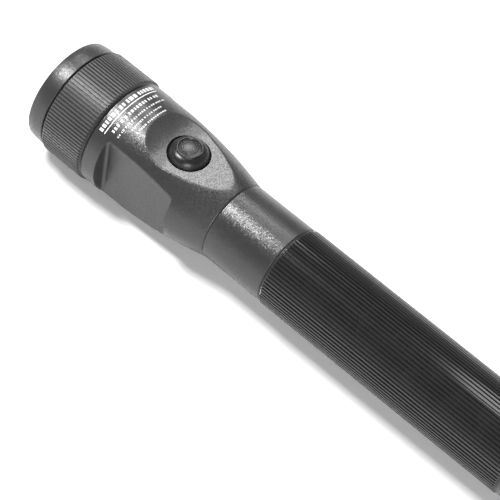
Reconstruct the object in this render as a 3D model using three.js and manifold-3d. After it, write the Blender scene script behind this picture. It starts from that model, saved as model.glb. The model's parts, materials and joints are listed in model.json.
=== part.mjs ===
// Rechargeable duty flashlight: machined head and barrel, screwed face cap and tail cap,
// a press switch on the head and another in the tail.
// Millimetres. The beam leaves toward -X, the tail is toward +X, the head switch faces +Z.
// Every length along the light is a station s, counted from the front rim.

import * as THREE from 'three';
import { mergeVertices } from 'three/addons/utils/BufferGeometryUtils.js';
import Module from 'manifold-3d';

const wasm = await Module();
wasm.setup();

// overall
const LENGTH = 225;
const GAP = 0.3;
const AXIS_Z = 20.2;

// face cap
const CAP_R = 20.2;
const BEZEL_R = 19.35;
const RIM_R = 18.7;
const APERTURE_R = 16.1;
const CAP_BORE_R = 17.6;
const CAP_END = 24.8;
const CAP_FLUTE_START = 7.8;
const CAP_FLUTE_END = 24.3;
const CAP_FLUTES = 102;
const CAP_FLUTE_DEPTH = 0.5;

// optic
const LENS_R = 17.25;
const MIRROR_FOCUS = 2.9;
const MIRROR_VERTEX = 28.5;
const MIRROR_MOUTH = 6.7;
const MIRROR_WALL = 0.9;

// head body
const SPIGOT_R = 17.1;
const SPIGOT_START = 13.2;
const BAND_START = 25.1;
const BAND_R = 19.5;
const SEAM = 75.7;
const NECK_R = 14.5;
const OPTIC_BORE_R = 15.2;
const OPTIC_BORE_END = 19;
const LED_BORE_R = 13;
const LED_BORE_END = 42.5;
const SWITCH_BAY_R = 11.5;
const SWITCH_BAY_END = 62.5;
const JOINT_BORE_R = 13.2;
const FACET_Z = 15.1;
const FACET_FRONT = 37.3;
const FACET_FLAT_START = 52.8;
const FACET_SCOOP_R = 24.3;
const POCKET_Y = 14.4;
const POCKET_START = 31.2;
const POCKET_END = 60.7;
const BASE_FLAT_Z = -16.2;
const BASE_FLAT_START = 44.2;
const BASE_FLAT_END = 63.4;

// head switch, centred at SWITCH_S on the facet
const SWITCH_S = 53.9;
const BOOT_R = 7;
const BOOT_HOLE_R = 7.3;

// charging contacts under the head, centred at CHARGE_S
const CHARGE_S = 53.8;
const CONTACT_PITCH = 9.6;
const CONTACT_R = 2.2;
const INSERT_HALF_W = 4.4;

// barrel
const COLLAR_R = 14.45;
const RIB_R = 14.75;
const RIB_DEPTH = 0.5;
const RIBS = 70;
const RIB_START = 100.4;
const RIB_END = 199.7;
const BARREL_END = 204.8;
const BORE_R = 12;
const TAIL_BORE_R = 13;
const TAIL_BORE_START = 191.5;
const THREAD_START = 65.4;

// battery stick
const CELL_R = 11;
const CELL_LENGTH = 39.6;
const CELL_PITCH = 40.2;
const CELL_START = 69.4;

// tail cap
const CAP2_START = 205.1;
const CAP2_R = 15.6;
const CAP2_RIB_START = 208.6;
const CAP2_RIB_END = 219.4;
const CAP2_RIBS = 60;
const CAP2_WALL = 217;
const TAIL_BOOT_HOLE_R = 7.5;

const group = new THREE.Group();
group.name = 'tactical_flashlight';

// ---- materials -------------------------------------------------------------------------

function paint(hex, roughness, metalness) {
  return { color: hex, roughness, metalness };
}

const ANODISED = paint(0x2b2b2e, 0.42, 0.6);
const BARE_ALLOY = paint(0xb9bbbe, 0.35, 0.9);
const MIRROR = paint(0xe6e8ea, 0.06, 1);
const RUBBER = paint(0x161617, 0.5, 0);
const BLACK_PLASTIC = paint(0x1b1c1e, 0.55, 0);
const GLASS = paint(0xdfe6ea, 0.05, 0);
const PHOSPHOR = paint(0xe8d04a, 0.3, 0);
const BOARD = paint(0x1f5a34, 0.5, 0);
const BRASS = paint(0xc9a35a, 0.3, 1);
const STEEL = paint(0x9a9da1, 0.3, 1);
const CELL_WRAP = paint(0x2d4a7a, 0.4, 0);
const SLEEVE = paint(0xe4e2dc, 0.45, 0);

// ---- solids ----------------------------------------------------------------------------

// welds a geometry's vertices, drops zero triangles and points it outward
function welded(geometry) {
  const g = geometry.clone();
  g.deleteAttribute('normal');
  g.deleteAttribute('uv');
  const m = mergeVertices(g, 1e-4);
  const p = m.attributes.position;
  const kept = [];
  let volume = 0;
  const a = new THREE.Vector3();
  const b = new THREE.Vector3();
  const c = new THREE.Vector3();
  for (let i = 0; i < m.index.count; i += 3) {
    const t = [m.index.getX(i), m.index.getX(i + 1), m.index.getX(i + 2)];
    if (t[0] === t[1] || t[1] === t[2] || t[0] === t[2]) continue;
    kept.push(...t);
    a.fromBufferAttribute(p, t[0]);
    b.fromBufferAttribute(p, t[1]);
    c.fromBufferAttribute(p, t[2]);
    volume += a.dot(b.cross(c));
  }
  if (volume < 0) {
    for (let i = 0; i < kept.length; i += 3) {
      [kept[i], kept[i + 1]] = [kept[i + 1], kept[i]];
    }
  }
  m.setIndex(kept);
  return m;
}

function solid(geometry) {
  const m = welded(geometry);
  return new wasm.Manifold(new wasm.Mesh({
    numProp: 3,
    vertProperties: new Float32Array(m.attributes.position.array),
    triVerts: new Uint32Array(m.index.array),
  }));
}

function shapeOf(manifold) {
  const mesh = manifold.getMesh();
  const g = new THREE.BufferGeometry();
  g.setAttribute('position', new THREE.BufferAttribute(new Float32Array(mesh.vertProperties), 3));
  g.setIndex(new THREE.BufferAttribute(new Uint32Array(mesh.triVerts), 1));
  return g;
}

// turns a profile of [s, r] points about the light's axis
function turned(profile, segments = 24) {
  const points = profile.map(([s, r]) => new THREE.Vector2(r, s));
  const g = new THREE.LatheGeometry(points, segments);
  g.rotateZ(-Math.PI / 2);
  return g;
}

// turns a profile of [r, z] points about a vertical line through station s
function upright(profile, s, segments = 24) {
  const points = profile.map(([r, z]) => new THREE.Vector2(r, z));
  const g = new THREE.LatheGeometry(points, segments);
  g.rotateX(Math.PI / 2);
  g.translate(s, 0, 0);
  return g;
}

function closed(profile) {
  return [...profile, profile[0]];
}

// a square-edged disc about the axis
function disc(s0, s1, r) {
  return [[s0, 0], [s0, r], [s1, r], [s1, 0]];
}

// a square-edged ring about the axis
function ring(s0, s1, rIn, rOut) {
  return closed([[s0, rIn], [s0, rOut], [s1, rOut], [s1, rIn]]);
}

// an O-ring about the axis
function oring(s, r, wire, segments = 28) {
  const profile = [];
  for (let i = 0; i < 6; i++) {
    const t = (i / 6) * 2 * Math.PI;
    profile.push([s + wire * Math.cos(t), r + wire * Math.sin(t)]);
  }
  return turned(closed(profile), segments);
}

// a ring with flat-topped ribs round its outside, running from s0 to s1
function ribbed(s0, s1, rIn, rTop, depth, count, topShare = 0.55) {
  const pitch = (2 * Math.PI) / count;
  const outline = [];
  for (let i = 0; i < count; i++) {
    const mid = (i + 0.5) * pitch;
    const half = (pitch * topShare) / 2;
    const foot = half + pitch * 0.12;
    for (const [turn, r] of [[-foot, rTop - depth], [-half, rTop], [half, rTop], [foot, rTop - depth]]) {
      outline.push(new THREE.Vector2(r * Math.cos(mid + turn), r * Math.sin(mid + turn)));
    }
  }
  const shape = new THREE.Shape(outline);
  const hole = new THREE.Path();
  hole.absarc(0, 0, rIn, 0, 2 * Math.PI, true);
  shape.holes.push(hole);
  const g = new THREE.ExtrudeGeometry(shape, { depth: s1 - s0, bevelEnabled: false, curveSegments: 24 });
  g.rotateY(Math.PI / 2);
  g.translate(s0, 0, 0);
  return g;
}

// a profile of [s, z] points pushed through the light along Y
function pushedY(points, width) {
  const shape = new THREE.Shape(points.map(([s, z]) => new THREE.Vector2(s, z)));
  const g = new THREE.ExtrudeGeometry(shape, { depth: width, bevelEnabled: false });
  g.rotateX(Math.PI / 2);
  g.translate(0, width / 2, 0);
  return g;
}

// a round-ended block lying along s, centred at station s
function stadium(s, half, halfWidth, z0, z1) {
  const shape = new THREE.Shape();
  shape.absarc(half, 0, halfWidth, -Math.PI / 2, Math.PI / 2, false);
  shape.absarc(-half, 0, halfWidth, Math.PI / 2, 1.5 * Math.PI, false);
  const g = new THREE.ExtrudeGeometry(shape, { depth: z1 - z0, bevelEnabled: false, curveSegments: 8 });
  g.translate(s, 0, z0);
  return g;
}

class Coil extends THREE.Curve {
  constructor(r0, r1, length, turns) {
    super();
    Object.assign(this, { r0, r1, length, turns });
  }

  getPoint(t) {
    const a = t * this.turns * 2 * Math.PI;
    const r = this.r0 + (this.r1 - this.r0) * t;
    return new THREE.Vector3(r * Math.cos(a), r * Math.sin(a), t * this.length);
  }
}

// a wire coil standing on z = 0, growing toward +z
function coil(r0, r1, wire, length, turns) {
  const section = new THREE.Shape();
  section.absarc(0, 0, wire, 0, 2 * Math.PI, false);
  return new THREE.ExtrudeGeometry(section, {
    steps: Math.round(turns * 9),
    curveSegments: 3,
    bevelEnabled: false,
    extrudePath: new Coil(r0, r1, length, turns),
  });
}

function add(name, geometry, look) {
  const g = geometry.isBufferGeometry ? welded(geometry) : shapeOf(geometry);
  g.translate(-LENGTH / 2, 0, AXIS_Z);
  const mesh = new THREE.Mesh(g, new THREE.MeshStandardMaterial({ ...look, name }));
  mesh.name = name;
  group.add(mesh);
}

// ---- face cap --------------------------------------------------------------------------

// bezel ring and fluted grip in one turned piece, bored for the lens and the head's spigot
function faceCap() {
  const s = CAP_FLUTE_START;
  const core = solid(turned(closed([
    [1.9, APERTURE_R],
    [0.2, APERTURE_R + 1.4],
    [0, APERTURE_R + 1.8],
    [0, RIM_R - 0.2],
    [0.25, RIM_R + 0.2],
    [0.9, BEZEL_R - 0.15],
    [2.4, BEZEL_R],
    [s - 0.9, BEZEL_R + 0.2],
    [s - 0.5, BEZEL_R],
    [s - 0.45, BEZEL_R - 0.55],
    [s + 0.1, BEZEL_R - 0.55],
    [s + 0.2, 19],
    [CAP_END - 0.3, 19],
    [CAP_END, 18.8],
    [CAP_END, CAP_BORE_R + 0.4],
    [CAP_END - 0.4, CAP_BORE_R],
    [2.2, CAP_BORE_R],
    [2.2, APERTURE_R],
  ]), 40));
  const grip = solid(ribbed(s, CAP_FLUTE_END, 18.6, CAP_R, CAP_FLUTE_DEPTH, CAP_FLUTES));
  return core.add(grip);
}

// deep paraboloid shell with a flange at its mouth
function reflector() {
  const inner = [];
  const outer = [];
  for (const r of [3.4, 6, 9, 12.4, 15.9]) {
    const s = MIRROR_VERTEX - (r * r) / (4 * MIRROR_FOCUS);
    inner.push([s, r]);
    outer.unshift([s + (r > 15 ? 0.9 : 0), r + (r > 15 ? 0.4 : MIRROR_WALL)]);
  }
  const flange = [[MIRROR_MOUTH - GAP, 15.9], [MIRROR_MOUTH - GAP, LENS_R], [MIRROR_MOUTH + 0.7, LENS_R]];
  return turned(closed([...inner, ...flange, ...outer]), 32);
}

function addOptic() {
  add('face_cap', faceCap(), ANODISED);
  add('lens', turned(disc(2.5, 4.7, LENS_R), 36), GLASS);
  add('lens_gasket', turned(ring(5, 6.1, 16.3, LENS_R), 32), RUBBER);
  add('reflector', reflector(), MIRROR);
}

// ---- light source ----------------------------------------------------------------------

function addLightSource() {
  add('led_emitter', turned([
    [24.9, 0], [25.1, 0.8], [25.6, 1.35], [26.3, 1.6], [26.5, 2.4], [27.5, 2.4], [27.5, 0],
  ], 20), PHOSPHOR);
  add('led_board', turned(disc(27.9, 29.1, 7.6), 20), BOARD);
  const sink = solid(turned([
    [29.4, 0], [29.4, 9], [31, 9.4], [31, 12.4], [31.3, 12.7], [41.6, 12.7], [41.9, 12.4],
    [41.9, 7], [36, 7], [36, 0],
  ], 32));
  const wireHole = turned([[28, 0], [28, 1], [43, 1], [43, 0]], 12);
  wireHole.translate(0, 5, 0);
  add('heat_sink', sink.subtract(solid(wireHole)), BARE_ALLOY);
}

// ---- head body -------------------------------------------------------------------------

function headBlank() {
  return solid(turned(closed([
    [SPIGOT_START, OPTIC_BORE_R],
    [SPIGOT_START, SPIGOT_R - 0.5],
    [SPIGOT_START + 0.5, SPIGOT_R],
    [20.4, SPIGOT_R],
    [20.4, 15.9],
    [22.3, 15.9],
    [22.3, SPIGOT_R],
    [BAND_START, SPIGOT_R],
    [BAND_START, BAND_R - 0.3],
    [BAND_START + 0.3, BAND_R],
    [40, BAND_R],
    [48, 19],
    [56, 18.2],
    [62, 17.25],
    [69, 16.05],
    [72.5, 15.35],
    [SEAM - 0.5, NECK_R + 0.1],
    [SEAM - 0.15, NECK_R - 0.2],
    [SEAM - 0.15, JOINT_BORE_R],
    [SWITCH_BAY_END, JOINT_BORE_R],
    [SWITCH_BAY_END, SWITCH_BAY_R],
    [LED_BORE_END, SWITCH_BAY_R],
    [LED_BORE_END, LED_BORE_R],
    [OPTIC_BORE_END, LED_BORE_R],
    [OPTIC_BORE_END, OPTIC_BORE_R],
  ]), 48));
}

// flat bed for the switch, with a long scooped run-in at its front
function facetCutter() {
  const points = [];
  const steps = 8;
  const centre = FACET_Z + FACET_SCOOP_R;
  for (let i = 0; i <= steps; i++) {
    const s = FACET_FRONT + ((FACET_FLAT_START - FACET_FRONT) * i) / steps;
    points.push([s, centre - Math.sqrt(FACET_SCOOP_R ** 2 - (FACET_FLAT_START - s) ** 2)]);
  }
  points.push([80, FACET_Z], [80, 32], [FACET_FRONT, 32]);
  return solid(pushedY(points, 60));
}

// flat-bottomed pocket on one side of the neck, where a charging holder's arm lies
function pocketCutter(side) {
  const x0 = POCKET_START;
  const x1 = POCKET_END;
  const y0 = POCKET_Y;
  const profile = [
    [x0, 26], [x0, y0 + 1.2], [x0 + 0.35, y0 + 0.35], [x0 + 1.2, y0],
    [x1 - 1.2, y0], [x1 - 0.35, y0 + 0.35], [x1, y0 + 1.2], [x1, 26],
  ];
  const g = pushedY(profile, 60);
  g.rotateX((side * Math.PI) / 2);
  return solid(g);
}

// flat and through slot under the head for the charging contacts
function baseCutter() {
  const flat = solid(pushedY([
    [BASE_FLAT_START - 2.2, -30], [BASE_FLAT_START, BASE_FLAT_Z],
    [BASE_FLAT_END, BASE_FLAT_Z], [BASE_FLAT_END + 2.6, -30],
  ], 60));
  return flat.add(solid(stadium(CHARGE_S, CONTACT_PITCH / 2, INSERT_HALF_W + GAP, -20, 0)));
}

function headBody() {
  const hole = solid(upright([
    [0, 4], [9, 4], [9, 13.3], [BOOT_HOLE_R, 13.3], [BOOT_HOLE_R, 22], [0, 22],
  ], SWITCH_S, 32));
  return headBlank()
    .subtract(facetCutter())
    .subtract(pocketCutter(1))
    .subtract(pocketCutter(-1))
    .subtract(baseCutter())
    .subtract(hole);
}

function addHead() {
  add('head_body', headBody(), ANODISED);
  add('face_cap_oring', oring(21.35, 16.85, 0.5), RUBBER);
}

// ---- head switch -----------------------------------------------------------------------

function addHeadSwitch() {
  const s = SWITCH_S;
  add('head_switch_boot', upright([
    [0, 18.6], [4.3, 18.5], [4.7, 18], [6.3, 17], [BOOT_R, 15.2],
    [BOOT_R, 13], [8.5, 13], [8.5, 12], [5.5, 12], [5.5, 15.2], [4.2, 16.4], [0, 16.4],
  ], s, 24), RUBBER);
  add('head_switch_plunger', upright([
    [0, 16.1], [3.6, 16.1], [4.6, 14.9], [4.6, 10.8], [5.1, 10.8], [5.1, 9.6], [1.5, 9.6],
    [1.5, 7.5], [0, 7.5],
  ], s, 16), BLACK_PLASTIC);
  add('head_switch_retainer', upright(closed([
    [5.6, 9.1], [5.6, 10.4], [8.5, 10.4], [8.5, 9.1],
  ]), s, 20), STEEL);
  add('head_switch_housing', upright([
    [0, 1.5], [7.4, 1.5], [7.4, 7.9], [3.3, 7.9], [3.3, 4.3], [0, 4.3],
  ], s, 20), BLACK_PLASTIC);
  add('head_switch_dome', upright([[0, 4.6], [1.6, 4.6], [1.2, 5.8], [0, 5.8]], s, 12), BRASS);
  const spring = coil(2.45, 2.45, 0.3, 3.9, 4);
  spring.translate(s, 0, 4.95);
  add('head_switch_spring', spring, STEEL);
  const board = new THREE.BoxGeometry(15, 15, 1.5);
  board.translate(s, 0, 0.2);
  add('head_switch_board', board, BOARD);
}

// ---- charging contacts -----------------------------------------------------------------

function addChargeContacts() {
  const half = CONTACT_PITCH / 2;
  let insert = solid(stadium(CHARGE_S, half, INSERT_HALF_W, BASE_FLAT_Z - 0.1, -12.2));
  for (const side of [-1, 1]) {
    insert = insert.subtract(solid(upright([
      [0, -20], [CONTACT_R + GAP, -20], [CONTACT_R + GAP, -11], [0, -11],
    ], CHARGE_S + side * half, 16)));
  }
  add('charge_insert', insert, BLACK_PLASTIC);
  for (const [name, side] of [['charge_contact_front', -1], ['charge_contact_rear', 1]]) {
    add(name, upright([
      [0, -16.7], [CONTACT_R - 0.3, -16.7], [CONTACT_R, -16.4], [CONTACT_R, -11.9], [0, -11.9],
    ], CHARGE_S + side * half, 16), BRASS);
  }
}

// ---- barrel ----------------------------------------------------------------------------

function barrel() {
  const core = solid(turned(closed([
    [THREAD_START, BORE_R],
    [THREAD_START, JOINT_BORE_R - 0.8],
    [THREAD_START + 0.5, JOINT_BORE_R - GAP],
    [SEAM + 0.15, JOINT_BORE_R - GAP],
    [SEAM + 0.15, COLLAR_R - 0.35],
    [SEAM + 0.5, COLLAR_R],
    [RIB_START - 0.4, COLLAR_R],
    [RIB_START, 14],
    [RIB_END, 14],
    [RIB_END + 0.4, COLLAR_R],
    [BARREL_END - 0.35, COLLAR_R],
    [BARREL_END, COLLAR_R - 0.35],
    [BARREL_END, TAIL_BORE_R],
    [TAIL_BORE_START, TAIL_BORE_R],
    [TAIL_BORE_START, BORE_R],
  ]), 36));
  const grip = solid(ribbed(RIB_START, RIB_END, 13.7, RIB_R, RIB_DEPTH, RIBS));
  return core.add(grip);
}

function addBarrel() {
  add('barrel', barrel(), ANODISED);
  add('front_contact_disc', turned(ring(63.3, 65, 2.2, 12.6), 20), BLACK_PLASTIC);
  add('front_contact_pin', turned([
    [62.2, 0], [62.2, 3], [62.7, 3], [62.7, 1.8], [65.4, 1.8], [65.4, 3.4], [66.3, 3.4], [67, 2.4], [67, 0],
  ], 16), BRASS);
}

// ---- battery stick ---------------------------------------------------------------------

function addBattery() {
  add('battery_nub', turned([[67.4, 0], [67.4, 2.6], [67.8, 3], [68.8, 3], [68.8, 6], [69.1, 6], [69.1, 0]], 20), STEEL);
  ['front', 'middle', 'rear'].forEach((place, i) => {
    const s = CELL_START + i * CELL_PITCH;
    add('battery_cell_' + place, turned(disc(s, s + CELL_LENGTH, CELL_R), 24), CELL_WRAP);
  });
  const end = CELL_START + 2 * CELL_PITCH + CELL_LENGTH;
  add('battery_sleeve', turned(ring(CELL_START, end, CELL_R + GAP, BORE_R - GAP), 28), SLEEVE);
}

// ---- tail cap --------------------------------------------------------------------------

function tailCap() {
  const core = solid(turned(closed([
    [193.4, 10.7],
    [193.4, 12.2],
    [193.9, 12.7],
    [201.6, 12.7],
    [201.6, 11.7],
    [203.3, 11.7],
    [203.3, 12.7],
    [CAP2_START, 12.7],
    [CAP2_START, COLLAR_R - 0.35],
    [CAP2_START + 0.35, COLLAR_R],
    [CAP2_RIB_START - 2, COLLAR_R],
    [CAP2_RIB_START - 0.8, 15],
    [LENGTH - 3, 15],
    [LENGTH - 0.5, 13.9],
    [LENGTH, 13.2],
    [LENGTH, 10.3],
    [219, 9.6],
    [219, TAIL_BOOT_HOLE_R],
    [CAP2_WALL, TAIL_BOOT_HOLE_R],
    [CAP2_WALL, 10.7],
  ]), 36));
  const grip = solid(ribbed(CAP2_RIB_START, CAP2_RIB_END, 14.4, CAP2_R, 0.5, CAP2_RIBS));
  return core.add(grip);
}

function addTail() {
  add('tail_contact_plate', turned(disc(195.6, 196.6, 8.6), 20), BRASS);
  const spring = coil(7.2, 7.2, 0.5, 4.6, 2.5);
  spring.rotateY(Math.PI / 2);
  spring.translate(190.3, 0, 0);
  add('tail_spring', spring, STEEL);
  add('tail_cap', tailCap(), ANODISED);
  add('tail_cap_oring', oring(202.45, 12.2, 0.42), RUBBER);
  add('tail_switch_board', turned(disc(197.2, 198.6, 10.3), 20), BOARD);
  add('tail_switch_housing', turned([
    [199, 0], [199, 10.3], [209, 10.3], [209, 3.3], [205.4, 3.3], [205.4, 0],
  ], 20), BLACK_PLASTIC);
  add('tail_switch_dome', turned([[205.7, 0], [205.7, 1.6], [206.9, 1.2], [206.9, 0]], 12), BRASS);
  const press = coil(2.45, 2.45, 0.3, 4.3, 4);
  press.rotateY(Math.PI / 2);
  press.translate(206.1, 0, 0);
  add('tail_switch_spring', press, STEEL);
  add('tail_switch_plunger', turned([
    [209.1, 0], [209.1, 1.5], [211.1, 1.5], [211.1, 5.1], [212.3, 5.1], [212.3, 4.6], [220, 4.6],
    [221.4, 3.6], [221.4, 0],
  ], 16), BLACK_PLASTIC);
  add('tail_switch_retainer', turned(closed([
    [211.9, 5.6], [211.9, 10.4], [213.3, 10.4], [213.3, 5.6],
  ]), 20), STEEL);
  add('tail_switch_boot', turned([
    [223.2, 0], [223, 4.4], [222.3, 4.8], [221.3, 6.5], [219.9, 7.1],
    [216.7, 7.1], [216.7, 8.9], [215.3, 8.9], [215.3, 5.4], [220.3, 5.4], [221.7, 4.1], [221.7, 0],
  ], 24), RUBBER);
}

addOptic();
addLightSource();
addHead();
addHeadSwitch();
addChargeContacts();
addBarrel();
addBattery();
addTail();

export default group;
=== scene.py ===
"""Looks for the rechargeable duty flashlight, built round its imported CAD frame.

Sizes are in millimetres and become metres as meshes are made. A place on the light is a
station s, counted from the front rim toward the tail, a radius r from the light's axis, and
an angle theta round it, from the switch side (+Z) toward +Y.
"""

import json
import math
import random

import bmesh
import bpy
import numpy as np
from mathutils import Matrix, Vector


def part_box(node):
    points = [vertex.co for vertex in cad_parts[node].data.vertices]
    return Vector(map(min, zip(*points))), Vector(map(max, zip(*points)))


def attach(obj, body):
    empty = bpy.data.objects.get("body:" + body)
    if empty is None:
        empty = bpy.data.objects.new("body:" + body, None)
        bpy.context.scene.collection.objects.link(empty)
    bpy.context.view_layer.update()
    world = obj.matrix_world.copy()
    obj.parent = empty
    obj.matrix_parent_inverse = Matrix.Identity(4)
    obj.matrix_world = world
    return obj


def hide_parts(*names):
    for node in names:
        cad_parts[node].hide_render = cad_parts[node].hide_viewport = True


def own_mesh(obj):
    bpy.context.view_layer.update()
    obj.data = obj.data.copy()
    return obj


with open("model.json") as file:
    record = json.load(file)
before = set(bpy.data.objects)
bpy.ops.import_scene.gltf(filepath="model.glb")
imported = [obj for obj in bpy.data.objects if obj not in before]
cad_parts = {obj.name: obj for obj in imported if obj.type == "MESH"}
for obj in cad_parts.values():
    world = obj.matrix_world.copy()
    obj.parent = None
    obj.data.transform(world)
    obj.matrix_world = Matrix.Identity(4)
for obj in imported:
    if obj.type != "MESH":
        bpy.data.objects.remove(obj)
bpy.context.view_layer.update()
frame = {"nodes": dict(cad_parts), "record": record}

MM = 0.001
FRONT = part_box("face_cap")[0].x
AXIS_Z = sum(corner.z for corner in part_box("barrel")) / 2


def span(node):
    """First and last station of a CAD node."""
    low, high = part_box(node)
    return (low.x - FRONT) / MM, (high.x - FRONT) / MM


def radius(node):
    """Outer radius of a CAD node that is turned about the light's axis."""
    low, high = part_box(node)
    return (high.z - low.z) / 2 / MM


def heights(node):
    """Lowest and highest point of a CAD node above the light's axis."""
    low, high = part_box(node)
    return (low.z - AXIS_Z) / MM, (high.z - AXIS_Z) / MM


# ---- sizes, in millimetres where nothing else is said --------------------------------------

SHARP = 32  # degrees; an edge that bends further than this stays crisp
SEAM = 0.3  # gap between a screwed cap and the piece behind it

LENGTH = span("tail_cap")[1]
CAP_END = span("face_cap")[1]
CAP_R = radius("face_cap")
BEZEL_R = 19.35
APERTURE_R = 16.1
CAP_BORE_R = 17.6
LENS_SEAT = 2.2
FLUTES = 102
FLUTE_START = 7.3
FLUTE_END = 24.3
FLUTE_DEPTH = 0.5

SPIGOT_START, CAD_NECK_END = span("head_body")
NECK_END = CAD_NECK_END + 0.1
SPIGOT_R = 17.1
SPIGOT_BORE_R = 15.2
SEAL_GROOVE_START = 20.4
SEAL_GROOVE_END = 22.3
SEAL_GROOVE_R = 15.9
BAND_START = CAP_END + SEAM
BAND_R = 19.5
BAND_END = 40
BAND_CHAMFER = 0.3
NECK_R = 14.6
NECK_CURVE = 1.65  # above 1 the neck leaves the band gently and reaches the collar steeply
NECK_CHAMFER = 0.35
FACET_Z = 15.1
FACET_FLAT_START = 52.8
FACET_SCOOP_R = 24.3
POCKET_Y = 14.4
POCKET_START = 31.2
POCKET_END = 60.7
POCKET_FILLET = 1.2
BASE_FLAT_Z = -16.2
BASE_FLAT_START = 44.2
BASE_FLAT_END = 63.4

SINK_SEAT = 19
SINK_BORE_R = 13
PASSAGE_START = 42.5
PASSAGE_R = 11.5
SOCKET_FLOOR = 62.5

SWITCH_S = sum(span("head_switch_boot")) / 2
SWITCH_FLOOR_Z = 4
SWITCH_CAVITY_R = 9
SWITCH_LEDGE_Z = 13.3
BOOT_R = 7
BOOT_HOLE_R = 7.2
CHARGE_S = sum(span("charge_insert")) / 2
CHARGE_SLOT_HALF = 4.8
CHARGE_SLOT_R = 4.7
CHARGE_SLOT_Z = -10
CUTTER_TOP_Z = 22  # cutters end past the skin, so that they break through it
CUTTER_BOTTOM_Z = -20

COLLAR_START = NECK_END + 0.1
BARREL_START, BARREL_END = span("barrel")
COLLAR_R = 14.45
RIBS = 70
RIB_R = radius("barrel")
RIB_DEPTH = 0.5
RIB_START = 100.4
RIB_END = 199.7
RIB_RUN_OUT = 0.7
BORE_R = 12
TAIL_BORE_R = 13
TAIL_BORE_START = 191.5
JOINT_R = 12.9
JOINT_GAP = 0.3

TAIL_START = BARREL_END + SEAM
TAIL_SPIGOT_START = span("tail_cap")[0]
TAIL_SPIGOT_R = 12.7
TAIL_INNER_R = 10.7
TAIL_GROOVE_START = 201.6
TAIL_GROOVE_END = 203.3
TAIL_GROOVE_R = 11.7
TAIL_R = radius("tail_cap")
TAIL_RIBS = 60
TAIL_RIB_DEPTH = 0.5
TAIL_RIB_START = 208.6
TAIL_RIB_END = 219.4
TAIL_RIB_ROOT_R = 15
TAIL_WALL_START = 217
TAIL_WALL_END = 219
TAIL_OPENING_R = 7.5


# ---- meshes ------------------------------------------------------------------------------

def finish_mesh(name, points, faces, sharp=SHARP):
    """A linked object from points in metres, welded, facing outward and smooth-shaded."""
    mesh = bpy.data.meshes.new(name)
    mesh.from_pydata(np.asarray(points).tolist(), [], np.asarray(faces).tolist())
    bm = bmesh.new()
    bm.from_mesh(mesh)
    bmesh.ops.remove_doubles(bm, verts=bm.verts, dist=2e-7)
    bmesh.ops.recalc_face_normals(bm, faces=bm.faces)
    bm.to_mesh(mesh)
    bm.free()
    mesh.shade_smooth()
    mesh.set_sharp_from_angle(angle=math.radians(sharp))
    piece = bpy.data.objects.new(name, mesh)
    bpy.context.scene.collection.objects.link(piece)
    return piece


def ring_faces(rows, columns, wraps):
    """Quads between neighbouring rings, and from the last ring to the first if it wraps."""
    last = rows if wraps else rows - 1
    row = np.arange(last)[:, None] * columns
    below = ((np.arange(last)[:, None] + 1) % rows) * columns
    column = np.arange(columns)
    beside = (column + 1) % columns
    quads = [row + column, row + beside, below + beside, below + column]
    return np.stack(quads, -1).reshape(-1, 4)


def full_turn(count):
    """That many angles, evenly spaced round a circle."""
    return np.arange(count) * (2 * math.pi / count)


def wrap(name, rings, angles, sharp=SHARP):
    """A piece from rings of (s, r) about the light's axis; s and r may vary with the angle."""
    count = len(angles)
    s = np.array([np.broadcast_to(ring[0], count) for ring in rings], float) * MM
    r = np.array([np.broadcast_to(ring[1], count) for ring in rings], float) * MM
    points = np.stack([FRONT + s, r * np.sin(angles), AXIS_Z + r * np.cos(angles)], -1)
    meets_axis = not np.any(r[0]) and not np.any(r[-1])
    faces = ring_faces(len(rings), count, not meets_axis)
    return finish_mesh(name, points.reshape(-1, 3), faces, sharp)


def turned(name, profile, count=128, sharp=SHARP):
    """A piece turned from a profile of (s, r) about the light's axis."""
    return wrap(name, profile, full_turn(count), sharp)


def upright(name, profile, s, count, sharp=SHARP):
    """A piece turned from a profile of (r, z) about the vertical line through station s."""
    angles = full_turn(count)
    r = np.array([p[0] for p in profile], float)[:, None] * MM
    z = np.array([p[1] for p in profile], float)[:, None] * MM
    x = FRONT + s * MM + r * np.cos(angles)
    level = np.broadcast_to(AXIS_Z + z, x.shape)
    points = np.stack([x, r * np.sin(angles), level], -1)
    faces = ring_faces(len(profile), count, bool(r[0] or r[-1]))
    return finish_mesh(name, points.reshape(-1, 3), faces, sharp)


def rounded(corners, steps=5):
    """An outline from corners (a, b) or (a, b, radius); a radius makes that corner an arc."""
    outline = []
    for i, (a, b, *fillet) in enumerate(corners):
        corner = Vector((a, b))
        if not fillet:
            outline.append(tuple(corner))
            continue
        before = (Vector(corners[i - 1][:2]) - corner).normalized()
        after = (Vector(corners[(i + 1) % len(corners)][:2]) - corner).normalized()
        half = before.angle(after) / 2
        centre = corner + (before + after).normalized() * (fillet[0] / math.sin(half))
        start = corner + before * (fillet[0] / math.tan(half)) - centre
        end = corner + after * (fillet[0] / math.tan(half)) - centre
        sweep = start.angle(end)
        for k in range(steps + 1):
            share = k / steps
            reach = start * math.sin((1 - share) * sweep) + end * math.sin(share * sweep)
            outline.append(tuple(centre + reach / math.sin(sweep)))
    return outline


def teeth(count, land, flank):
    """Angles round a ribbed ring, and the rib height (0 to 1) at each.

    land and flank are shares of the pitch: the flat top, and each side's slope."""
    edge = land / 2
    bevel = 0.035
    shoulder = 0.86
    shares = [-edge, -edge + bevel, edge - bevel, edge, edge + flank, 1 - edge - flank]
    levels = [shoulder, 1, 1, shoulder, 0, 0]
    pitch = 2 * math.pi / count
    angles = np.array([(i + share) * pitch for i in range(count) for share in shares])
    return angles, np.array(levels * count, float)


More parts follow.
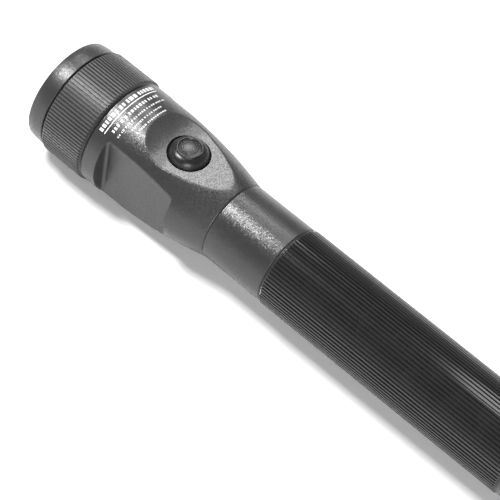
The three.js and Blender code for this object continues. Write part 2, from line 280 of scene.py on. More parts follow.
def cut(piece, cutter):
    """Takes the cutter's volume out of a piece, and the cutter out of the scene."""
    modifier = piece.modifiers.new("cut", "BOOLEAN")
    modifier.operation = "DIFFERENCE"
    modifier.solver = "EXACT"
    modifier.object = cutter
    with bpy.context.temp_override(object=piece, active_object=piece):
        bpy.ops.object.modifier_apply(modifier="cut")
    bpy.data.objects.remove(cutter)
    piece.data.shade_smooth()
    piece.data.set_sharp_from_angle(angle=math.radians(SHARP))


def stadium(name, s, half, end_r, z0, z1):
    """A block that lies along s from height z0 to z1; its round ends are centred at s ± half."""
    steps = 16
    outline = []
    for end in (1, -1):
        for k in range(steps + 1):
            turn = math.pi * (k / steps - 0.5)
            along = s + end * (half + end_r * math.cos(turn))
            outline.append((along, end * end_r * math.sin(turn)))
    bm = bmesh.new()
    low = [bm.verts.new((FRONT + a * MM, b * MM, AXIS_Z + z0 * MM)) for a, b in outline]
    high = [bm.verts.new((FRONT + a * MM, b * MM, AXIS_Z + z1 * MM)) for a, b in outline]
    bm.faces.new(low)
    bm.faces.new(high)
    for i in range(len(outline)):
        j = (i + 1) % len(outline)
        bm.faces.new((low[i], low[j], high[j], high[i]))
    bmesh.ops.recalc_face_normals(bm, faces=bm.faces)
    mesh = bpy.data.meshes.new(name)
    bm.to_mesh(mesh)
    bm.free()
    piece = bpy.data.objects.new(name, mesh)
    bpy.context.scene.collection.objects.link(piece)
    return piece


def place(piece, body, slot, look, *nodes):
    """Gives a finished piece its body and material, and hides the CAD nodes it stands for; slot is
    not used.
    """
    piece.data.materials.clear()
    piece.data.materials.append(look)
    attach(piece, body)
    if nodes:
        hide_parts(*nodes)
    return piece


# ---- materials ---------------------------------------------------------------------------

def wire_up(tree, socket, value):
    """Links a socket to another node's output, or sets it where the value is a plain one."""
    if isinstance(value, bpy.types.NodeSocket):
        tree.links.new(value, socket)
    else:
        socket.default_value = value


class Look:
    """A material whose nodes are wired by short calls. Grains and depths are in millimetres."""

    def __init__(self, name, **sockets):
        self.material = bpy.data.materials.new(name)
        self.material.use_nodes = True
        self.tree = self.material.node_tree
        self.shader = self.tree.nodes["Principled BSDF"]
        for socket, value in sockets.items():
            self.shader.inputs[socket.replace("_", " ")].default_value = value
        coordinates = self.tree.nodes.new("ShaderNodeTexCoord")
        self.place = coordinates.outputs["Object"]

    def node(self, kind, **inputs):
        """A node with its inputs set, or linked where the value is another node's output."""
        made = self.tree.nodes.new(kind)
        for socket, value in inputs.items():
            wire_up(self.tree, made.inputs[socket.replace("_", " ")], value)
        return made

    def noise(self, grain, detail=3.0, stretch=None):
        """Noise from 0 to 1 whose grains are about that many millimetres across."""
        where = self.place
        if stretch:
            where = self.node("ShaderNodeMapping", Vector=where, Scale=stretch).outputs[0]
        made = self.node("ShaderNodeTexNoise", Vector=where, Scale=1 / (grain * MM),
                         Detail=detail, Roughness=0.55)
        return made.outputs["Fac"]

    def vector(self, operation, first, second):
        """Vector arithmetic on two values or outputs."""
        made = self.tree.nodes.new("ShaderNodeVectorMath")
        made.operation = operation
        wire_up(self.tree, made.inputs[0], first)
        wire_up(self.tree, made.inputs[1], second)
        return made.outputs[0]

    def pitted(self, grain, tilt):
        """The surface direction of blasted metal: pits that many millimetres across, each of
        which leans its own way by up to that share."""
        cell = self.node("ShaderNodeTexVoronoi", Vector=self.place, Scale=1 / (grain * MM))
        lean = self.vector("SUBTRACT", cell.outputs["Color"], (0.5, 0.5, 0.5))
        lean = self.vector("MULTIPLY", lean, (2 * tilt,) * 3)
        surface = self.tree.nodes.new("ShaderNodeNewGeometry").outputs["Normal"]
        return self.vector("NORMALIZE", self.vector("ADD", surface, lean), (0, 0, 0))

    def ranged(self, value, low, high, start=0.3, end=0.7):
        """The value, spread from low to high as it goes from start to end."""
        made = self.node("ShaderNodeMapRange", Value=value, From_Min=start, From_Max=end,
                         To_Min=low, To_Max=high)
        return made.outputs["Result"]

    def mixed(self, share, first, second):
        """The first colour where share is 0, the second where it is 1."""
        made = self.node("ShaderNodeMix")
        made.data_type = "RGBA"
        factor, colour_a, colour_b = made.inputs[0], made.inputs[6], made.inputs[7]
        wire_up(self.tree, factor, share)
        wire_up(self.tree, colour_a, first)
        wire_up(self.tree, colour_b, second)
        return made.outputs[2]

    def edges(self):
        """1 along outer edges, where a finish rubs bright."""
        geometry = self.tree.nodes.new("ShaderNodeNewGeometry")
        return self.ranged(geometry.outputs["Pointiness"], 0, 1, 0.52, 0.62)

    def feed(self, socket, output):
        """Links an output to one of the shader's own sockets."""
        self.tree.links.new(output, self.shader.inputs[socket])

    def bump(self, height, depth):
        """Relief that many millimetres deep."""
        made = self.node("ShaderNodeBump", Height=height, Distance=depth * MM, Strength=1.0)
        return made.outputs["Normal"]


def grey(value, blue=1.0):
    """A neutral colour, whose blue may be a little stronger or weaker."""
    return (value, value, value * blue, 1)


def anodised(name, shade, shine, roughness, wear=0.05, pits=None):
    """Black hard-anodised alloy with faint wear on its edges. pits is the size and lean of the
    pits left by blasting; without it the surface is as turned."""
    look = Look(name, Specular_IOR_Level=shine)
    patches = look.ranged(look.noise(9, 2), 0, 1)
    skin = look.mixed(patches, grey(shade * 0.85, 1.03), grey(shade * 1.15, 1.02))
    speck = look.ranged(look.noise(0.3, 1), 0, 0.3, 0.62, 0.75)
    skin = look.mixed(speck, skin, grey(shade * 2.4))
    rubbed = look.ranged(look.edges(), 0, wear, 0, 1)
    look.feed("Base Color", look.mixed(rubbed, skin, grey(0.3)))
    look.feed("Roughness", look.ranged(look.noise(0.7, 2), roughness * 0.85, roughness * 1.15))
    if pits:
        look.feed("Normal", look.pitted(*pits))
    else:
        look.feed("Normal", look.bump(look.noise(0.5, 2), 0.0015))
    return look.material


def rubber(name):
    """Black moulded rubber with a fine sheen."""
    look = Look(name, Specular_IOR_Level=0.5)
    look.feed("Base Color", look.mixed(look.noise(4), grey(0.008), grey(0.014)))
    look.feed("Roughness", look.ranged(look.noise(0.5), 0.24, 0.32))
    look.feed("Normal", look.bump(look.noise(0.25), 0.006))
    return look.material


def plastic(name, low, high, roughness=0.5):
    """Moulded plastic whose colour wanders between low and high."""
    look = Look(name)
    look.feed("Base Color", look.mixed(look.noise(3), low, high))
    look.feed("Roughness", look.ranged(look.noise(0.6), roughness * 0.85, roughness * 1.15))
    look.feed("Normal", look.bump(look.noise(0.2), 0.01))
    return look.material


def metal(name, low, high, roughness, brushed=(1, 1, 1)):
    """Bare metal. brushed packs its grain closer along each axis by that much."""
    look = Look(name, Metallic=1.0)
    look.feed("Base Color", look.mixed(look.noise(2.5), low, high))
    grain = look.noise(0.4, stretch=brushed)
    look.feed("Roughness", look.ranged(grain, roughness * 0.7, roughness * 1.3))
    look.feed("Normal", look.bump(look.noise(0.12, stretch=brushed), 0.004))
    return look.material


def clear(name):
    """Clear polycarbonate."""
    look = Look(name, Transmission_Weight=1.0, IOR=1.58, Base_Color=(0.985, 0.99, 0.985, 1))
    look.feed("Roughness", look.ranged(look.noise(6), 0.0, 0.03))
    look.feed("Normal", look.bump(look.noise(8), 0.002))
    return look.material


def mirror(name):
    """Metal film on a moulded bowl."""
    look = Look(name, Metallic=1.0)
    look.feed("Base Color", look.mixed(look.noise(12), grey(0.86), grey(0.92)))
    look.feed("Roughness", look.ranged(look.noise(3), 0.04, 0.08))
    look.feed("Normal", look.bump(look.noise(1.4, 2), 0.006))
    return look.material


def phosphor(name):
    """Yellow phosphor under a clear dome."""
    look = Look(name, Coat_Weight=1.0, Coat_Roughness=0.05)
    look.feed("Base Color", look.mixed(look.noise(0.4), (0.75, 0.6, 0.08, 1), (0.86, 0.74, 0.2, 1)))
    look.feed("Roughness", look.ranged(look.noise(0.3), 0.3, 0.5))
    return look.material


def ink(name):
    """White ink, thin in places."""
    look = Look(name)
    look.feed("Base Color", look.mixed(look.ranged(look.noise(0.5, 2), 0, 1), grey(0.5), grey(0.86)))
    look.feed("Roughness", look.ranged(look.noise(0.3), 0.4, 0.6))
    look.feed("Normal", look.bump(look.noise(0.15), 0.006))
    return look.material


LOOKS = {
    "blasted": anodised("blasted_anodise", 0.02, 0.6, 0.33, pits=(0.24, 0.09)),
    # the facet's base shade, lighter than the blasted look's, is painted sheen for the light that
    # the flat catches
    "facet": anodised("milled_anodise_painted_sheen", 0.035, 0.9, 0.3, pits=(0.24, 0.055)),
    "fluted": anodised("fluted_anodise", 0.04, 0.35, 0.42, 0.15),
    "ribbed": anodised("ribbed_anodise", 0.013, 0.5, 0.09, 0.03),
    "rubber": rubber("boot_rubber"),
    "black_plastic": plastic("moulded_plastic", grey(0.018), grey(0.03)),
    "circuit_board": plastic("solder_mask", (0.01, 0.09, 0.03, 1), (0.02, 0.14, 0.05, 1), 0.35),
    "cell_wrap": plastic("cell_film", (0.02, 0.05, 0.16, 1), (0.03, 0.07, 0.2, 1), 0.3),
    "sleeve": plastic("shrink_sleeve", grey(0.6, 0.93), grey(0.7, 0.93), 0.4),
    "bare_alloy": metal("turned_alloy", grey(0.5), grey(0.6), 0.3, (1, 6, 6)),
    "steel": metal("spring_steel", grey(0.42), grey(0.55), 0.25),
    "brass": metal("gold_plate", (0.72, 0.5, 0.17, 1), (0.8, 0.6, 0.26, 1), 0.25),
    "lens": clear("clear_polycarbonate"),
    "mirror": mirror("metallised_mirror"),
    "phosphor": phosphor("led_phosphor"),
    "ink": ink("white_ink"),
}


def finish_ribs(piece, look, start, end, core_r):
    """Gives a piece's skin between two stations its own finish, outside the core's radius."""
    slack = 0.02
    piece.data.materials.append(look)
    for face in piece.data.polygons:
        s = (face.center.x - FRONT) / MM
        r = math.hypot(face.center.y, face.center.z - AXIS_Z) / MM
        if r > core_r and start - slack < s < end + slack:
            face.material_index = 1


# ---- face cap and optic ------------------------------------------------------------------

def face_cap():
    """Bezel ring and fluted grip: the front, the flutes, and the rear edge with the bore."""
    angles, height = teeth(FLUTES, 0.52, 0.09)
    root = CAP_R - FLUTE_DEPTH
    grip = root + FLUTE_DEPTH * height
    core = root - 0.35
    shoulder = np.minimum(grip, core + 0.3)
    front = rounded([
        (LENS_SEAT, APERTURE_R), (1.9, APERTURE_R), (0.2, APERTURE_R + 1.4),
        (0, APERTURE_R + 1.8, 0.1), (0, BEZEL_R - 0.3, 0.6), (2.4, BEZEL_R, 2.0),
        (FLUTE_START - 0.85, BEZEL_R + 0.2, 0.15), (FLUTE_START - 0.6, BEZEL_R - 0.1, 0.1),
        (FLUTE_START - 0.55, BEZEL_R - 0.6), (FLUTE_START - 0.1, BEZEL_R - 0.6),
    ], 6)
    fluted = [
        (FLUTE_START, core), (FLUTE_START + 0.12, shoulder), (FLUTE_START + 0.5, grip),
        (FLUTE_START + 0.9, grip), (FLUTE_END - 0.9, grip), (FLUTE_END - 0.5, grip),
        (FLUTE_END - 0.12, shoulder), (FLUTE_END, core),
    ]
    back = rounded([
        (FLUTE_END, core), (CAP_END - 0.2, core - 0.25, 0.1), (CAP_END, core - 0.55),
        (CAP_END, CAP_BORE_R + 0.4), (CAP_END - 0.4, CAP_BORE_R), (LENS_SEAT, CAP_BORE_R),
    ], 4)[1:]
    piece = wrap("face_cap_shell", front + fluted + back, angles)
    place(piece, "face_cap_body", "anodised", LOOKS["blasted"], "face_cap")
    finish_ribs(piece, LOOKS["fluted"], FLUTE_START, FLUTE_END, core - 0.1)
    return piece


def lens():
    """The flat front window."""
    s0, s1 = span("lens")
    edge = radius("lens")
    outline = rounded([(s0, 0), (s0, edge, 0.25), (s1, edge, 0.25), (s1, 0)], 3)
    return place(turned("lens_disc", outline), "optic", "lens", LOOKS["lens"], "lens")


def reflector():
    """A paraboloid round the emitter, with a flange that the lens rests on."""
    focus = 2.9
    vertex = 28.5
    throat_r = 3.4
    mouth_r = 15.9
    edge = radius("reflector")
    inner = [(vertex - r * r / (4 * focus), r) for r in np.linspace(throat_r, mouth_r, 28)]
    outer = [(s + 0.7, r + 0.55) for s, r in inner[:-2]]
    s0 = span("reflector")[0]
    flange = rounded([
        (s0, mouth_r + 0.05, 0.1), (s0, edge, 0.15), (s0 + 0.7, edge, 0.15),
        (s0 + 0.8, mouth_r + 0.1),
    ], 3)
    piece = turned("reflector_bowl", inner + flange + outer[::-1], 160)
    return place(piece, "optic", "mirror", LOOKS["mirror"], "reflector")


def o_ring(name, node, body):
    """A round seal where the CAD has one."""
    s0, s1 = span(node)
    centre = (s0 + s1) / 2
    wire = (s1 - s0) / 2
    middle = radius(node) - wire
    circle = [(centre + wire * math.cos(t), middle + wire * math.sin(t)) for t in full_turn(16)]
    return place(turned(name, circle, 96), body, "rubber", LOOKS["rubber"], node)


# ---- head --------------------------------------------------------------------------------

def blend_low(first, second):
    """The lower of two radii, with the edge between them rounded over."""
    width = 0.1
    flat_beyond = 60
    nearer = np.minimum(first, second)
    gap = np.minimum(np.abs(first - second) / width, flat_beyond)
    return nearer - width * np.log1p(np.exp(-gap))


def flat_radius(height, cosine):
    """Radius at which a flat that far from the axis is met; far out where it isn't met."""
    grazing = 0.15
    far_r = 40
    return np.where(cosine > grazing, height / np.maximum(cosine, grazing), far_r)


def neck_radius(s):
    """Radius of the turned head: a plain band, then a neck that tapers to the collar."""
    neck_stop = NECK_END - NECK_CHAMFER
    share = np.clip((s - BAND_END) / (neck_stop - BAND_END), 0, 1)
    r = BAND_R - (BAND_R - NECK_R) * share ** NECK_CURVE
    chamfer_in = np.clip(BAND_START + BAND_CHAMFER - s, 0, BAND_CHAMFER)
    chamfer_out = np.clip(s - neck_stop, 0, NECK_CHAMFER) * 0.9
    return r - chamfer_in - chamfer_out


def facet_height(s):
    """Height of the switch facet: flat at the back, scooped up to the band at the front."""
    run = np.clip(FACET_FLAT_START - s, 0, FACET_SCOOP_R - 0.05)
    return FACET_Z + FACET_SCOOP_R - np.sqrt(FACET_SCOOP_R ** 2 - run ** 2)


def pocket_floor(s):
    """Distance of the side pocket's floor from the mid plane, with steep ends."""
    wall_slope = 25
    inside = np.minimum(s - POCKET_START, POCKET_END - s)
    reach = np.clip(POCKET_FILLET - inside, 0, POCKET_FILLET)
    fillet = POCKET_FILLET - np.sqrt(POCKET_FILLET ** 2 - reach ** 2)
    return POCKET_Y + fillet + wall_slope * np.clip(-inside, 0, 1)


def base_height(s):
    """Depth of the contact flat below the axis, which falls away past both its ends."""
    fall = 3
    outside = np.maximum(BASE_FLAT_START - s, s - BASE_FLAT_END)
    return -BASE_FLAT_Z + fall * np.clip(outside, 0, 6)


def head_radius(s, theta):
    """Radius of the head's skin: the turned shape, less the facet, pockets and contact flat."""
    cosine, sine = np.cos(theta), np.sin(theta)
    r = blend_low(neck_radius(s), flat_radius(facet_height(s), cosine))
    r = blend_low(r, flat_radius(pocket_floor(s), np.abs(sine)))
    return blend_low(r, flat_radius(base_height(s), -cosine))


def head_stations():
    """Stations of the head's outer rings, closer together at its edges."""
    coarse = np.arange(BAND_START, NECK_END, 0.3)
    chamfer = np.linspace(0, 0.5, 5)
    wall = np.linspace(-0.2, 1.25, 16)
    edges = [BAND_START + chamfer, NECK_END - chamfer, POCKET_START + wall, POCKET_END - wall]
    return np.unique(np.round(np.concatenate([coarse, *edges]), 3))


def head():
    """Spigot, outer skin and bores in one piece, with the switch's hole and the contact slot."""
    angles = full_turn(640)
    joint_r = JOINT_R + JOINT_GAP
    spigot = [
        (SPIGOT_START, SPIGOT_BORE_R), (SPIGOT_START, SPIGOT_R - 0.5),
        (SPIGOT_START + 0.5, SPIGOT_R), (SEAL_GROOVE_START, SPIGOT_R),
        (SEAL_GROOVE_START + 0.05, SEAL_GROOVE_R), (SEAL_GROOVE_END - 0.05, SEAL_GROOVE_R),
        (SEAL_GROOVE_END, SPIGOT_R), (BAND_START, SPIGOT_R),
    ]
    outside = [(s, head_radius(s, angles)) for s in head_stations()]
    inside = [
        (NECK_END, joint_r), (SOCKET_FLOOR, joint_r), (SOCKET_FLOOR, PASSAGE_R),
        (PASSAGE_START, PASSAGE_R), (PASSAGE_START, SINK_BORE_R), (SINK_SEAT, SINK_BORE_R),
        (SINK_SEAT, SPIGOT_BORE_R),
    ]
    piece = wrap("head_shell", spigot + outside + inside, angles, 38)
    hole = [
        (0, SWITCH_FLOOR_Z), (SWITCH_CAVITY_R, SWITCH_FLOOR_Z),
        (SWITCH_CAVITY_R, SWITCH_LEDGE_Z), (BOOT_HOLE_R, SWITCH_LEDGE_Z),
        (BOOT_HOLE_R, FACET_Z - 0.3), (BOOT_HOLE_R + 0.25, FACET_Z),
        (BOOT_HOLE_R + 0.5, CUTTER_TOP_Z), (0, CUTTER_TOP_Z),
    ]
    cut(piece, upright("hole_cutter", hole, SWITCH_S, 128))
    slot = CHARGE_SLOT_HALF, CHARGE_SLOT_R, CUTTER_BOTTOM_Z, CHARGE_SLOT_Z
    cut(piece, stadium("slot_cutter", CHARGE_S, *slot))
    place(piece, "handle", "anodised", LOOKS["blasted"], "head_body")
    finish_facet(piece)
    return piece


def finish_facet(piece):
    """Gives the milled facet its own finish, whose lighter base colour is painted sheen: the faces
    that look up and lie on its surface.
    """
    piece.data.materials.append(LOOKS["facet"])
    for face in piece.data.polygons:
        s = (face.center.x - FRONT) / MM
        above = (face.center.z - AXIS_Z) / MM - facet_height(s)
        looks_up = face.normal.z > 0.7 and abs(face.normal.y) < 0.1
        if looks_up and abs(above) < 0.04:
            face.material_index = 1


def bar(s0, s1, t0, t1):
    """Points, side faces and end faces of one printed bar on the head, from angle t0 to t1."""
    degrees_a_column = 0.8
    sunk, raised = -0.05, 0.025
    columns = max(2, int(math.degrees(t1 - t0) / degrees_a_column) + 1)
    theta = np.linspace(t0, t1, columns)
    corners = [(s0, sunk), (s0, raised), (s1, raised), (s1, sunk)]
    points = []
    for s, lift in corners:
        r = (head_radius(s, theta) + lift) * MM
        x = np.full(columns, FRONT + s * MM)
        points.append(np.stack([x, r * np.sin(theta), AXIS_Z + r * np.cos(theta)], -1))
    faces = []
    for k in range(4):
        here, there = k * columns, ((k + 1) % 4) * columns
        for i in range(columns - 1):
            faces.append((here + i, here + i + 1, there + i + 1, there + i))
    starts = tuple(k * columns for k in range(4))
    stops = tuple(k * columns + columns - 1 for k in range(4))
    return np.concatenate(points), faces, [starts, stops]


def marking():
    """Plain printed bars in place of the marking: one rule, and rows of short blocks.

    A row is its first and last station, its first and last angle, and its blocks and gaps, all
    angles in degrees."""
    rows = [
        (26.5, 28.0, -44.5, 33, 3.6, 1.5), (30.5, 31.6, -38.5, 28, 2.4, 1.5),
        (33.3, 33.9, -39.5, 29, 1.5, 1.1), (35.5, 36.1, -25.5, 17, 1.5, 1.1),
        (37.6, 38.2, -25.5, 16, 1.6, 1.1),
    ]
    bars = [(28.75, 29.1, -44.5, 33)]
    draw = random.Random(7)  # gives the blocks their uneven widths and gaps
    for s0, s1, start, end, block, gap in rows:
        at = start
        while at < end - 1:
            wide = min(block * draw.uniform(0.6, 1.25), end - at)
            bars.append((s0, s1, at, at + wide))
            at += wide + gap * draw.choice((1, 1, 1, 2))
    points, quads, count = [], [], 0
    for s0, s1, t0, t1 in bars:
        got, faces, caps = bar(s0, s1, math.radians(t0), math.radians(t1))
        points.append(got)
        quads += [tuple(i + count for i in face) for face in faces + caps]
        count += len(got)
    piece = finish_mesh("head_marking", np.concatenate(points), quads)
    return place(piece, "handle", "anodised", LOOKS["ink"])


def head_boot():
    """A domed crown in a raised rim, a bulbous side, and a hidden skirt under the ledge."""
    low, top = heights("head_switch_boot")
    rim_r = 3.8
    skirt_r = 8.5
    skirt_top = 13
    hollow_r = 5.5
    hollow_top = 16.4
    crown = [(r, top - 0.05 - 0.4 * (r / rim_r) ** 2) for r in np.linspace(0, 2.2, 8)]
    ring = [(2.35, top - 0.05), (2.65, top - 0.08), (2.8, top - 0.3), (3.3, top - 0.38)]
    side = rounded([
        (rim_r, top - 0.45, 0.15), (4.05, top - 0.05, 0.12), (4.35, top - 0.05, 0.2),
        (4.55, top - 0.75, 0.15), (6.3, top - 1.55, 3.2), (BOOT_R, 15, 2.2),
        (BOOT_R, skirt_top), (skirt_r, skirt_top), (skirt_r, low), (hollow_r, low),
        (hollow_r, 15.2, 0.5), (4.2, hollow_top, 0.5), (0, hollow_top),
    ], 8)
    piece = upright("head_boot", crown + ring + side, SWITCH_S, 128, 30)
    return place(piece, "head_button", "rubber", LOOKS["rubber"], "head_switch_boot")


def charge_contacts():
    """Two round studs in the slot under the head."""
    for node in ("charge_contact_front", "charge_contact_rear"):
        s0, s1 = span(node)
        low, high = heights(node)
        edge = (s1 - s0) / 2
        outline = rounded([(0, low), (edge, low, 0.5), (edge, high, 0.15), (0, high)], 5)
        piece = upright(node + "_stud", outline, (s0 + s1) / 2, 64)
        place(piece, "handle", "brass", LOOKS["brass"], node)


# ---- barrel ------------------------------------------------------------------------------

def ribbed_stretch(start, end, low, foot, depth, height, run):
    """Rings of a ribbed stretch whose ribs slope down to a plain ring over each end's run."""
    top = foot + depth * height
    halfway = np.minimum(top, (low + foot + depth) / 2)
    return [
        (start, low), (start + run * 0.5, halfway), (start + run, top), (start + run + 0.4, top),
        (end - run - 0.4, top), (end - run, top), (end - run * 0.5, halfway), (end, low),
    ]


def barrel():
    """Front joint and collar, the ribbed grip, and the rear band with its bores."""
    angles, height = teeth(RIBS, 0.5, 0.1)
    foot = RIB_R - RIB_DEPTH
    low = foot - 0.25
    front = rounded([
        (BARREL_START, BORE_R), (BARREL_START, JOINT_R - 0.5), (BARREL_START + 0.5, JOINT_R),
        (COLLAR_START, JOINT_R), (COLLAR_START, COLLAR_R - 0.2), (COLLAR_START + 0.2, COLLAR_R, 0.1),
        (RIB_START - 0.5, COLLAR_R, 0.2), (RIB_START - 0.1, low),
    ], 4)
    ribs = ribbed_stretch(RIB_START, RIB_END, low, foot, RIB_DEPTH, height, RIB_RUN_OUT)
    back = rounded([
        (RIB_END + 0.1, low), (RIB_END + 0.5, COLLAR_R, 0.2),
        (BARREL_END - 0.35, COLLAR_R, 0.15), (BARREL_END, COLLAR_R - 0.35),
        (BARREL_END, TAIL_BORE_R), (TAIL_BORE_START, TAIL_BORE_R), (TAIL_BORE_START, BORE_R),
    ], 4)
    piece = wrap("barrel_shell", front + ribs + back, angles)
    place(piece, "handle", "anodised", LOOKS["blasted"], "barrel")
    first, last = RIB_START + RIB_RUN_OUT, RIB_END - RIB_RUN_OUT
    finish_ribs(piece, LOOKS["ribbed"], first, last, foot - 0.6)
    return piece


# ---- tail --------------------------------------------------------------------------------

def tail_cap():
    """Spigot with its seal groove, the ribbed grip, and the recess round the tail switch."""
    angles, height = teeth(TAIL_RIBS, 0.45, 0.1)
    foot = TAIL_R - TAIL_RIB_DEPTH
    front = rounded([
        (TAIL_SPIGOT_START, TAIL_INNER_R), (TAIL_SPIGOT_START, TAIL_SPIGOT_R - 0.5),
        (TAIL_SPIGOT_START + 0.5, TAIL_SPIGOT_R), (TAIL_GROOVE_START, TAIL_SPIGOT_R),
        (TAIL_GROOVE_START + 0.05, TAIL_GROOVE_R), (TAIL_GROOVE_END - 0.05, TAIL_GROOVE_R),
        (TAIL_GROOVE_END, TAIL_SPIGOT_R), (TAIL_START, TAIL_SPIGOT_R),
        (TAIL_START, COLLAR_R - 0.35), (TAIL_START + 0.35, COLLAR_R, 0.15),
        (TAIL_RIB_START - 2, COLLAR_R, 1.0), (TAIL_RIB_START - 0.8, TAIL_RIB_ROOT_R, 0.3),
        (TAIL_RIB_START, TAIL_RIB_ROOT_R),
    ], 4)
    ribs = ribbed_stretch(TAIL_RIB_START, TAIL_RIB_END, TAIL_RIB_ROOT_R, foot,
                          TAIL_RIB_DEPTH, height, 0.5)
    back = rounded([
        (TAIL_RIB_END, TAIL_RIB_ROOT_R), (LENGTH - 3, TAIL_RIB_ROOT_R, 1.0),
        (LENGTH - 0.5, 13.9, 0.6), (LENGTH, 13.2, 0.3), (LENGTH, 10.3, 0.3),
        (TAIL_WALL_END, 9.6, 0.3), (TAIL_WALL_END, TAIL_OPENING_R),
        (TAIL_WALL_START, TAIL_OPENING_R), (TAIL_WALL_START, TAIL_INNER_R),
    ], 5)[1:]
    piece = wrap("tail_cap_shell", front + ribs + back, angles)
    return place(piece, "tail_cap_body", "anodised", LOOKS["blasted"], "tail_cap")


def tail_boot():
    """A button with a flat crown, and a hidden skirt in front of the cap's rear wall."""
    low, top = span("tail_switch_boot")
    side_r = 7.1
    skirt_r = 8.9
    skirt_end = 216.7
    hollow_r = 5.4
    hollow_end = 221.7
    outline = rounded([
        (top, 0), (top - 0.12, 4.35, 0.25), (top - 0.8, 4.75, 0.2), (221.3, 6.5, 1.5),
        (219.9, side_r, 1.0), (skirt_end, side_r), (skirt_end, skirt_r), (low, skirt_r),
        (low, hollow_r), (220.3, hollow_r, 0.5), (hollow_end, 4.1, 0.5), (hollow_end, 0),
    ], 8)
    piece = turned("tail_boot", outline, 128, 30)
    return place(piece, "tail_button", "rubber", LOOKS["rubber"], "tail_switch_boot")


# ---- switch springs ----------------------------------------------------------------------

def press_spring(node, body, axis):
    """The coil under a switch, built at the length of its CAD node; nothing here shortens it as the
    switch is pressed.
    """
    turns = 4
    steps_a_turn = 24
    sides = 10
    wire = 0.3 * MM
    low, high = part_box(node)
    axis = Vector(axis)
    side = Vector((0, 1, 0))
    length = (high - low).dot(axis)
    foot = (low + high) / 2 - axis * length / 2
    reach = (high.y - low.y) / 2 - wire
    share = np.linspace(0, 1, turns * steps_a_turn + 1)
    share = np.concatenate([[0], share, [1]])[:, None]
    thick = np.full_like(share, wire)
    thick[[0, -1]] = 0  # the wire closes to a point at both ends
    turn = share * turns * 2 * math.pi
    out = reach + thick * np.cos(full_turn(sides))
    rise = wire + share * (length - 2 * wire) + thick * np.sin(full_turn(sides))
    ways = (out * np.cos(turn), side), (out * np.sin(turn), side.cross(axis)), (rise, axis)
    points = np.array(foot) + sum(reached[..., None] * np.array(way) for reached, way in ways)
    faces = ring_faces(len(share), sides, False)
    piece = finish_mesh(node + "_coil", points.reshape(-1, 3), faces)
    place(piece, body, "steel", LOOKS["steel"], node)
    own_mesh(piece)
    return piece


# ---- stage -------------------------------------------------------------------------------

# camera: angles in degrees, lens and sensor in millimetres, places in metres
CAMERA_AZIMUTH = 32.6
CAMERA_ELEVATION = 52.4
CAMERA_ROLL = 12.0
CAMERA_LENS = 172.8
CAMERA_SENSOR = 36
CAMERA_TARGET = (-0.03256, 0.00739, 0.0021)
CAMERA_DISTANCE = 0.8027

FLOOR_HALF = 6
LAMP_DISTANCE = 1.5
LAMPS = {
    # name: place along the axis in metres, tilt toward +Y in degrees, size in metres, watts
    "key": (-0.85, -11, (0.5, 0.4), 38),
    "side": (-0.73, 32, (0.42, 0.42), 7),
    "overhead": (-0.17, 24, (0.26, 1.1), 5),
    "fill": (1.0, -58, (1.0, 1.0), 22),
}
SKY_HORIZON = 0.9
SKY_CEILING = 0.2
SKY_CEILING_RISE = 0.6  # how far up, as the height of a direction one unit long


def aim(azimuth, elevation, roll):
    """The way back to a camera on that side, and its rotation with that roll."""
    a, e = math.radians(azimuth), math.radians(elevation)
    back = Vector((math.sin(a) * math.cos(e), -math.cos(a) * math.cos(e), math.sin(e)))
    level = (-back).to_track_quat("-Z", "Y").to_matrix()
    return back, level @ Matrix.Rotation(math.radians(roll), 3, "Z")


def add_camera():
    """A camera where the photograph was taken from."""
    camera = bpy.data.objects.new("camera", bpy.data.cameras.new("camera"))
    bpy.context.scene.collection.objects.link(camera)
    camera.data.lens = CAMERA_LENS
    camera.data.sensor_width = CAMERA_SENSOR
    camera.data.clip_start = 0.01
    camera.data.clip_end = 20
    back, turn = aim(CAMERA_AZIMUTH, CAMERA_ELEVATION, CAMERA_ROLL)
    eye = Vector(CAMERA_TARGET) + back * CAMERA_DISTANCE
    camera.matrix_world = Matrix.Translation(eye) @ turn.to_4x4()
    bpy.context.scene.camera = camera


def softbox(name, along, tilt, size, power):
    """A rectangular lamp, that far along the flashlight's axis and tilted round it toward +Y."""
    light = bpy.data.lights.new(name, "AREA")
    light.shape = "RECTANGLE"
    light.size, light.size_y = size
    light.energy = power
    lamp = bpy.data.objects.new(name, light)
    bpy.context.scene.collection.objects.link(lamp)
    turn = math.radians(tilt)
    sideways = LAMP_DISTANCE * math.sin(turn)
    lamp.location = (along, sideways, AXIS_Z + LAMP_DISTANCE * math.cos(turn))
    lamp.rotation_euler = (-turn, 0, 0)


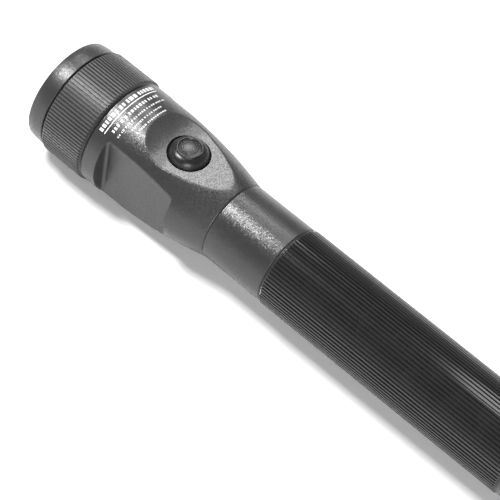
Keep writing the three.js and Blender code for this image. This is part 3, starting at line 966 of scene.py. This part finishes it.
def shade_sky(tree):
    """A pale sweep at the horizon under a dim ceiling."""
    tree.nodes["Background"].inputs["Color"].default_value = (1, 1, 1, 1)
    direction = tree.nodes.new("ShaderNodeTexCoord")
    parts = tree.nodes.new("ShaderNodeSeparateXYZ")
    rise = tree.nodes.new("ShaderNodeMapRange")
    rise.inputs["From Min"].default_value = 0
    rise.inputs["From Max"].default_value = SKY_CEILING_RISE
    rise.inputs["To Min"].default_value = SKY_HORIZON
    rise.inputs["To Max"].default_value = SKY_CEILING
    tree.links.new(direction.outputs["Generated"], parts.inputs[0])
    tree.links.new(parts.outputs["Z"], rise.inputs["Value"])
    tree.links.new(rise.outputs["Result"], tree.nodes["Background"].inputs["Strength"])


def add_stage():
    """A plain pale floor, the sky and the lamps."""
    half = FLOOR_HALF
    corners = [(-half, -half, 0), (half, -half, 0), (half, half, 0), (-half, half, 0)]
    mesh = bpy.data.meshes.new("floor")
    mesh.from_pydata(corners, [], [(0, 1, 2, 3)])
    floor = bpy.data.objects.new("floor", mesh)
    bpy.context.scene.collection.objects.link(floor)
    look = Look("pale_floor", Specular_IOR_Level=0.1)
    look.feed("Base Color", look.mixed(look.noise(300), grey(0.93), grey(0.95)))
    look.feed("Roughness", look.ranged(look.noise(200), 0.7, 0.8))
    mesh.materials.append(look.material)
    world = bpy.data.worlds.new("studio")
    world.use_nodes = True
    shade_sky(world.node_tree)
    bpy.context.scene.world = world
    for name, settings in LAMPS.items():
        softbox(name, *settings)
    bpy.context.scene.view_settings.view_transform = "Standard"


# ---- assembly ----------------------------------------------------------------------------

def dress_cad():
    """A procedural finish on every CAD piece, whether or not a finer piece stands for it."""
    for part in frame["record"]["subparts"]:
        node = frame["nodes"][part["node"]]
        look = LOOKS.get(part["material_slot"], LOOKS["blasted"])
        node.data.materials.clear()
        node.data.materials.append(look)


add_camera()
add_stage()
dress_cad()
face_cap()
lens()
reflector()
o_ring("face_cap_seal", "face_cap_oring", "handle")
head()
marking()
head_boot()
charge_contacts()
barrel()
tail_cap()
o_ring("tail_cap_seal", "tail_cap_oring", "tail_cap_body")
tail_boot()
press_spring("head_switch_spring", "handle", (0, 0, 1))
press_spring("tail_switch_spring", "tail_cap_body", (1, 0, 0))
